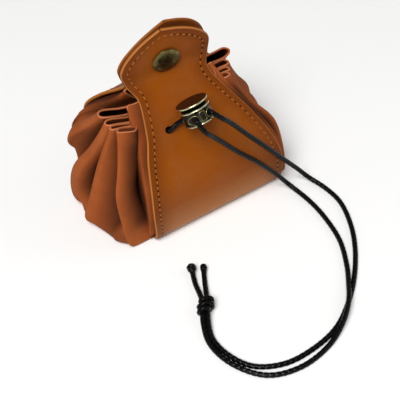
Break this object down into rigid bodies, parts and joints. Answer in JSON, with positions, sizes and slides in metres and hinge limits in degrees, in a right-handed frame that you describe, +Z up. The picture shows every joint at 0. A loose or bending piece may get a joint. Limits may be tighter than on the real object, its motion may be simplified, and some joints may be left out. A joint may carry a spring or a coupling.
{
  "type": "dice bag",
  "caption": "Small soft leather dice bag: a broad leather strap with gathered side walls, tabs closed by a snap, and a black drawcord with a sprung cord lock.",
  "frame": {"origin": "middle of the flat bottom, on the surface that the bag stands on", "axes": "+Z up, front of the bag with the snap and the cord lock towards -Y, +X to the right seen from the front"},
  "size_m": [0.1021, 0.1458, 0.0951],
  "materials": {
    "strap_leather": "smooth tan leather with a soft sheen",
    "side_leather": "soft matt red-brown leather",
    "dark_bronze": "dark antique bronze, satin",
    "old_brass": "antique brass with bright rims",
    "waxed_cord": "black braided cord, lightly waxed"
  },
  "bodies": {
    "bag": {"strap": "strap_leather", "gusset_left": "side_leather", "gusset_right": "side_leather", "snap_cap": "dark_bronze", "snap_back": "dark_bronze", "lock_barrel": "old_brass", "cord_left": "waxed_cord", "cord_right": "waxed_cord", "cord_knot": "waxed_cord", "tail_left": "waxed_cord", "tail_right": "waxed_cord"},
    "button": {"lock_button": "dark_bronze"}
  },
  "joints": [
    {"name": "button_press", "type": "slide", "parent": "bag", "child": "button", "axis": [0.1306, -0.4955, -0.8588], "range_m": [0, 0.0015], "stiffness_N_per_m": 600, "springref_m": -0.002}
  ]
}
